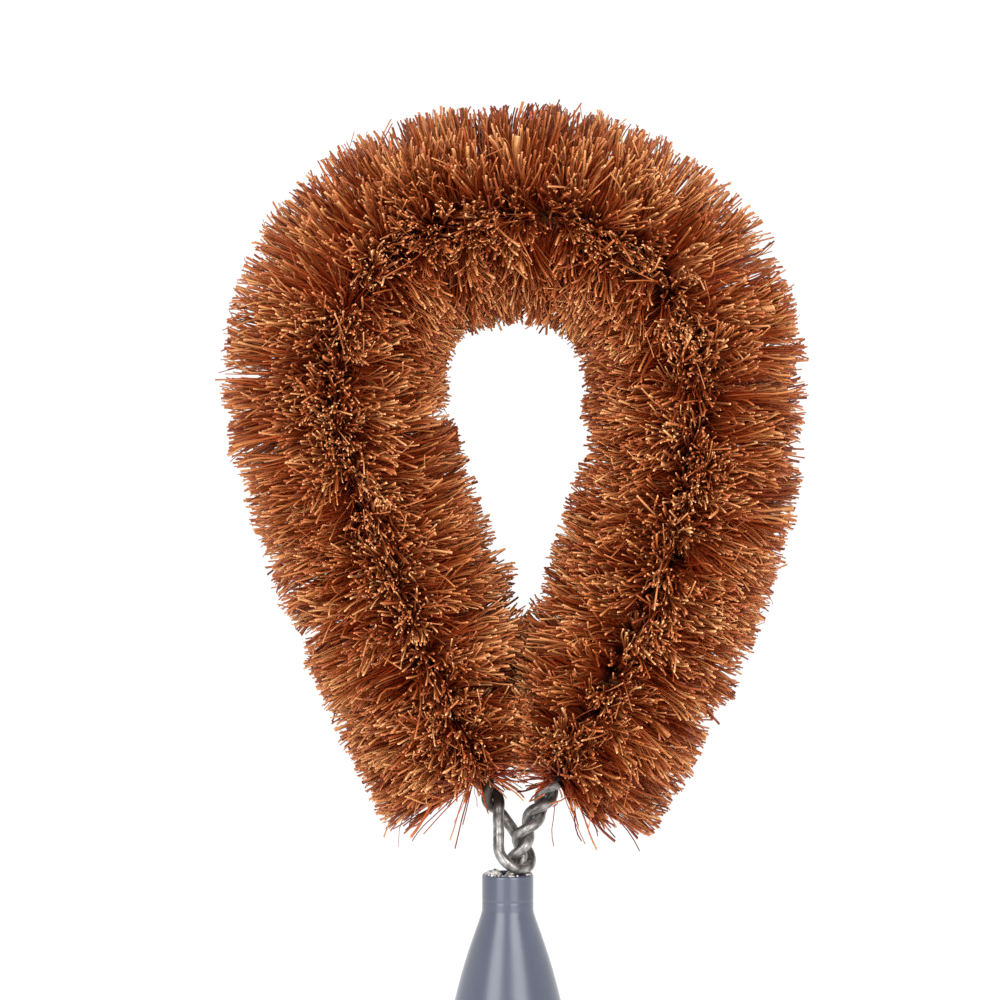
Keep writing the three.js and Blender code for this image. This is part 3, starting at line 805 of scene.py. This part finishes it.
# Scatter of the fibres about their clump
RUN_SPREAD = 0.6 * MM
FIBRE_TURN = math.radians(5)
FIBRE_LEAN = math.radians(3)
FIBRE_CURVE = 0.06
FIBRE_WAVE = 0.018
FIBRE_SHADE = 0.25
SHADE_MIDDLE = 0.5
SHADE_LIMITS = (0.06, 0.98)
TRIM_SPARE = 0.3 * MM
TRIM_LOSS = 0.9 * MM  # mean of what a fibre falls short of its clump
CUT_SHARE = 0.3  # of the fibres, which fall short by more
CUT_LOSS = 4 * MM  # mean of that
TRIM_LIMITS = (-9 * MM, 0.8 * MM)  # of a fibre's end against the reach
WIDE_SHARE = 0.02  # of the fibres, which are split flat and wide
WIDE_FACTOR = 2.0
WIDE_FLATNESS = 0.35
FLATNESS = (0.6, 1.0)
THICKNESS_LOG = -0.05
THICKNESS_LOG_SPREAD = 0.3
THICKNESS_LIMITS = (0.5, 1.6)  # of a fibre, as shares of the usual thickness
STRAY_SHARE = 0.08  # of the fibres at a foot, which hang loose
STRAY_RUN = 6 * MM  # from a foot, over which they grow fewer
STRAY_LEAN = 0.5
STRAY_LEAN_MOST = 1.1
STRAY_LOSS = 0.5  # share of its reach that a stray loses with each radian of lean
HOOK_SHARE = 0.1  # of the fibres, which hook at the tip
HOOK_SPREAD = 0.3
HOOK_START = 0.72  # share of the length where a hook begins
HOOK_GAIN = 4.5
WAVE_PHASE = 3 * math.pi  # one and a half waves on a fibre
LEAST_COSINE = 0.9  # of a lean, past which a leaning fibre is made no longer
SEAM_OVERLAP = (-0.5, 2.5)  # millimetres by which a fibre may pass the seam
TINY = 1e-6


def scatter_clumps(rng, core, start, end, fibre):
    """Draws the clumps of one stretch of wire, as a dict of arrays. Most lie anywhere round the wire, spread
    by the golden angle, and the rest on two rows that go round with the lay. Stubs splay and curl more than
    the others, so they hide the wire, and broken clumps are a little short."""
    count = round((end - start) / MM * fibre.per_mm / FIBRES_PER_CLUMP)
    run = start + (end - start) * (np.arange(count) + rng.uniform(0, 1, count)) / count
    row = math.pi * rng.integers(0, 2, count)
    on_row = rng.normal(0, ROW_SPREAD, count)
    anywhere = GOLDEN_ANGLE * np.arange(count) + rng.normal(0, ROUND_SPREAD, count)
    lot = rng.uniform(0, 1, count)
    stub = lot < STUB_SHARE
    splay = np.where(stub, STUB_SPLAY, 1.0)
    turn = np.where(lot < ANYWHERE_SHARE, anywhere, on_row)
    from_right, from_left = run - core.first_fibre, core.last_fibre - run
    from_foot = np.minimum(from_right, from_left)
    lean = splay * np.clip(rng.normal(0, CLUMP_LEAN, count), -CLUMP_LEAN_MOST, CLUMP_LEAN_MOST)
    lean *= np.clip(from_foot / UPRIGHT_RUN, UPRIGHT_LEAN, 1)
    longer = rng.normal(CLUMP_LONGER, CLUMP_LONGER_SPREAD, count) - rng.exponential(CLUMP_SHORTER, count)
    share = np.where(lot < SHORT_SHARE, rng.uniform(*BROKEN_LENGTHS, count), 1.0)
    share = np.where(stub, rng.uniform(*STUB_LENGTHS, count), share)
    return {
        "run": run,
        "angle": 2 * math.pi * run / fibre.lay_pitch + row + turn,
        "splay": splay,
        "from_foot": from_foot,
        "downward": np.where(from_right < from_left, -1, 1),
        "lean": lean,
        "longer": longer,
        "share": share,
        "curve": splay[:, None] * rng.normal(0, CLUMP_CURVE, (count, 2)),
        "shade": rng.normal(0, CLUMP_SHADE, count),
    }


def scatter_fibres(rng, clumps, start, end, fibre):
    """Draws the fibres of one stretch of wire, as a dict of arrays, each scattered about its clump. Some are
    cut shorter, some hook at the tip, a few are wide, and at the feet a few hang loose."""
    mine = np.repeat(np.arange(len(clumps["run"])), FIBRES_PER_CLUMP)
    clump = {name: values[mine] for name, values in clumps.items()}
    count = len(mine)
    shorter = rng.exponential(TRIM_LOSS, count)
    shorter = shorter + rng.exponential(CUT_LOSS, count) * (rng.uniform(0, 1, count) < CUT_SHARE)
    trim = np.clip(clump["longer"] - shorter + TRIM_SPARE, *TRIM_LIMITS)
    reach = fibre.reach * clump["share"] + trim * clump["share"]
    wide = rng.uniform(0, 1, count) < WIDE_SHARE
    loose = (rng.uniform(0, 1, count) < STRAY_SHARE) * np.clip(1 - clump["from_foot"] / STRAY_RUN, 0, 1)
    stray = clump["downward"] * loose * np.clip(np.abs(rng.normal(0, STRAY_LEAN, count)), 0, STRAY_LEAN_MOST)
    return {
        "run": np.clip(clump["run"] + rng.normal(0, RUN_SPREAD, count), start, end),
        "angle": clump["angle"] + clump["splay"] * rng.normal(0, FIBRE_TURN, count),
        "lean": clump["lean"] + clump["splay"] * rng.normal(0, FIBRE_LEAN, count) + stray,
        "reach": reach * (1 - STRAY_LOSS * np.abs(stray)),
        "curve": clump["curve"] + rng.normal(0, FIBRE_CURVE, (count, 2)),
        "wave": rng.normal(0, FIBRE_WAVE, (count, 2)),
        "hook": rng.normal(0, HOOK_SPREAD, (count, 2)) * (rng.uniform(0, 1, (count, 1)) < HOOK_SHARE),
        "thickness": fibre.thickness
        * np.clip(rng.lognormal(THICKNESS_LOG, THICKNESS_LOG_SPREAD, count), *THICKNESS_LIMITS)
        * np.where(wide, WIDE_FACTOR, 1.0),
        "flatness": np.where(wide, WIDE_FLATNESS, rng.uniform(*FLATNESS, count)),
        "shade": np.clip(SHADE_MIDDLE + clump["shade"] + rng.normal(0, FIBRE_SHADE, count), *SHADE_LIMITS),
    }


def fibre_lines(rng, core, fibres, leg_side):
    """Each fibre's line, as an array of fibre, ring and coordinate: straight out from the core line to the
    trimmed round, plus a curve that grows with the square of the length, a slight wave, and a hook on its
    last quarter. On a leg, a fibre that would pass the seam by more than its overlap is squeezed back."""
    point, along, across, up = core.at(fibres["run"])
    angle, lean = fibres["angle"][:, None], fibres["lean"][:, None]
    radial = across * np.cos(angle) + up * np.sin(angle)
    round_way = np.cross(along, radial)
    outward = radial * np.cos(lean) + along * np.sin(lean)
    length = (fibres["reach"] / np.maximum(np.cos(fibres["lean"]), LEAST_COSINE))[:, None, None]
    share = FIBRE_RINGS[None, :, None]
    tip_share = np.clip(share - HOOK_START, 0, None)
    sway = fibres["curve"][:, None, :] * share**2 + fibres["hook"][:, None, :] * tip_share**2 * HOOK_GAIN
    sway = sway + fibres["wave"][:, None, :] * np.sin(WAVE_PHASE * share) * share
    lines = point[:, None] + length * (
        outward[:, None] * share + along[:, None] * sway[..., :1] + round_way[:, None] * sway[..., 1:]
    )
    if leg_side:
        past = np.max(leg_side * (SEAM_X - lines[..., 0]), axis=1)
        overlap = rng.uniform(*SEAM_OVERLAP, len(lines)) * MM
        room = leg_side * (point[:, 0] - SEAM_X) + overlap
        reach_in = room + past - overlap
        squeeze = np.where(past > overlap, room / np.maximum(reach_in, TINY), 1.0)
        lines[..., 0] = point[:, None, 0] + (lines[..., 0] - point[:, None, 0]) * squeeze[:, None]
    return lines, along, round_way


def make_fibre_mesh(name, lines, along, round_way, fibres):
    """A triangle carried along every fibre's line, on two axes that each fibre keeps, closed at both ends.
    The map holds each fibre's shade, and its share of the length."""
    count, rings = lines.shape[:2]
    turn = 2 * math.pi * np.arange(FIBRE_SIDES) / FIBRE_SIDES
    turn = turn[None, :] + (fibres["shade"] * FIBRE_ROLL)[:, None]
    flat = fibres["flatness"][:, None]
    spoke = along[:, None] * np.cos(turn)[..., None] + round_way[:, None] * (flat * np.sin(turn))[..., None]
    points = lines[:, :, None] + spoke[:, None] * (fibres["thickness"] / 2)[:, None, None, None]
    one = grid_faces(rings, FIBRE_SIDES)[:, ::-1]
    size = rings * FIBRE_SIDES
    first = (np.arange(count) * size)[:, None, None]
    ends = np.array([[0, 1, 2], [size - 1, size - 2, size - 3]])
    uv = np.empty((count, rings, FIBRE_SIDES, 2))
    uv[..., 0] = fibres["shade"][:, None, None]
    uv[..., 1] = FIBRE_RINGS[None, :, None]
    return put_mesh(
        name, points.reshape(-1, 3), (one[None] + first).reshape(-1, 4), (ends[None] + first).reshape(-1, 3),
        uv.reshape(-1, 2),
    )


class BRUSH_OT_fibres(bpy.types.Operator):
    """Lays the palm fibres along the twisted wire, in stretches that stand for the packed bristle nodes"""

    bl_idname = "brush.fibres"
    bl_label = "Fibres"

    def execute(self, context):
        fibre = context.scene.brush.fibre
        finish = palm_fibre_finish(fibre)
        core = CoreLine()
        zones = [
            ("right_leg", core.first_fibre, core.right_waist, 1),
            ("right_crown", core.right_waist, core.crown, 0),
            ("left_crown", core.crown, core.left_waist, 0),
            ("left_leg", core.left_waist, core.last_fibre, -1),
        ]
        for number, (zone, start, end, leg_side) in enumerate(zones):
            rng = np.random.default_rng([fibre.seed, number])
            cuts = np.linspace(start, end, PIECES_PER_ZONE + 1)
            for part, (first, last) in enumerate(zip(cuts[:-1], cuts[1:]), 1):
                clumps = scatter_clumps(rng, core, first, last, fibre)
                fibres = scatter_fibres(rng, clumps, first, last, fibre)
                lines, along, round_way = fibre_lines(rng, core, fibres, leg_side)
                piece = make_fibre_mesh(f"fibres_{zone}_{part}", lines, along, round_way, fibres)
                seat(piece, finish, "palm_fibre", f"bristles_{zone}")
        return {"FINISHED"}


# Stage

LIGHT_AIM = Vector((0, 0, 190 * MM))
BACKDROP_DEPTH = (-0.75, 0.35)  # of a direction's y, where the light from behind begins and is full
SEEN_WHITE = 1.05  # strength of the surroundings where the camera sees them


def make_floor(stage):
    """A plain level sheet, wide enough for the brush's shadow from any light."""
    half = 0.55
    corners = np.array([[-half, -half, 0], [half, -half, 0], [half, half, 0], [-half, half, 0]])
    floor = put_mesh("floor", corners, np.array([[0, 1, 2, 3]]))
    finish, tree = new_finish("matt_white_paper")
    paper = add_node(tree, "BsdfPrincipled", inputs={"Base Color": (*stage.floor, 1), "Roughness": 0.9})
    add_node(tree, "OutputMaterial", links={"Surface": paper.outputs["BSDF"]})
    floor.data.materials.append(finish)


def add_soft_light(name, power, azimuth, elevation, distance, width, height):
    """A soft box that faces the aim, at an azimuth to the camera's right and an elevation, in degrees."""
    box = bpy.data.lights.new(name, "AREA")
    box.shape, box.size, box.size_y, box.energy = "RECTANGLE", width, height, power
    lamp = bpy.data.objects.new(name, box)
    bpy.context.scene.collection.objects.link(lamp)
    turn, rise = math.radians(azimuth), math.radians(elevation)
    away = Vector((math.sin(turn) * math.cos(rise), -math.cos(turn) * math.cos(rise), math.sin(rise)))
    lamp.location = LIGHT_AIM + away * distance
    lamp.rotation_euler = (-away).to_track_quat("-Z", "Y").to_euler()
    lamp.visible_camera = False
    return lamp


def make_surroundings(stage):
    """A white studio. The camera sees plain white, and the light grows in an S-curve from front to back."""
    sky = bpy.data.worlds.new("white_studio")
    sky.use_nodes = True
    tree = sky.node_tree
    background = tree.nodes["Background"]
    background.inputs["Color"].default_value = (1, 1, 1, 1)
    way = add_node(tree, "TexCoord").outputs["Generated"]
    depth = add_node(tree, "SeparateXYZ", links={"Vector": way}).outputs["Y"]
    front, back = BACKDROP_DEPTH
    light = add_node(
        tree, "MapRange", links={"Value": depth}, interpolation_type="SMOOTHSTEP",
        inputs={"From Min": front, "From Max": back, "To Min": stage.room, "To Max": stage.backdrop},
    ).outputs["Result"]
    seen = add_node(tree, "LightPath").outputs["Is Camera Ray"]
    strength = add_node(tree, "Mix", inputs={"B": SEEN_WHITE}, links={"Factor": seen, "A": light})
    tree.links.new(strength.outputs["Result"], background.inputs["Strength"])
    return sky


def add_camera(stage):
    """The camera at the photograph's angle. The view's place and height give its middle and its lens."""
    lens = bpy.data.cameras.new("camera")
    lens.sensor_width = 36
    lens.lens = lens.sensor_width * stage.camera_distance / stage.view_height
    camera = bpy.data.objects.new("camera", lens)
    bpy.context.scene.collection.objects.link(camera)
    back = Vector((0, -math.cos(stage.camera_pitch), math.sin(stage.camera_pitch)))
    camera.location = Vector((stage.view_x, 0, stage.view_z)) + back * stage.camera_distance
    camera.rotation_euler = (math.pi / 2 - stage.camera_pitch, 0, 0)
    bpy.context.scene.camera = camera


class BRUSH_OT_stage(bpy.types.Operator):
    """Sets out the floor, the soft lights, the white surroundings and the camera"""

    bl_idname = "brush.stage"
    bl_label = "Stage"

    def execute(self, context):
        scene = context.scene
        stage = scene.brush.stage
        make_floor(stage)
        side_box = {"elevation": 18, "distance": 0.9, "width": 0.5, "height": 1.0}
        add_soft_light("key_light", stage.key, azimuth=-33, **side_box)
        add_soft_light("fill_light", stage.fill, azimuth=29, **side_box)
        front = add_soft_light(
            "front_light", stage.front, azimuth=0, elevation=0, distance=0.95, width=0.3, height=0.3
        )
        front.visible_glossy = False  # so that it lights the fibres and isn't mirrored in the handle
        scene.world = make_surroundings(stage)
        scene.view_settings.view_transform = "Standard"
        add_camera(stage)
        return {"FINISHED"}


class BRUSH_PT_panel(bpy.types.Panel):
    """Settings and steps of the brush"""

    bl_idname = "BRUSH_PT_panel"
    bl_label = "Dish brush"
    bl_space_type = "VIEW_3D"
    bl_region_type = "UI"
    bl_category = "Brush"

    def draw(self, context):
        settings = context.scene.brush
        for group, step in STEPS:
            box = self.layout.box()
            if group:
                part = getattr(settings, group)
                for name in part.__annotations__:
                    box.prop(part, name)
            box.operator(step.bl_idname)


STEPS = [
    ("stage", BRUSH_OT_stage),
    ("handle", BRUSH_OT_handle),
    (None, BRUSH_OT_glue),
    ("wire", BRUSH_OT_wire),
    ("fibre", BRUSH_OT_fibres),
]
SETTINGS = [HandleSettings, WireSettings, FibreSettings, StageSettings, BrushSettings]
CLASSES = SETTINGS + [step for _, step in STEPS] + [BRUSH_PT_panel]


def register():
    for kind in CLASSES:
        bpy.utils.register_class(kind)
    bpy.types.Scene.brush = PointerProperty(type=BrushSettings)


def unregister():
    del bpy.types.Scene.brush
    for kind in reversed(CLASSES):
        bpy.utils.unregister_class(kind)


def main():
    register()
    bpy.ops.brush.stage()
    bpy.ops.brush.handle()
    bpy.ops.brush.glue()
    bpy.ops.brush.wire()
    bpy.ops.brush.fibres()


if __name__ == "__main__":
    main()
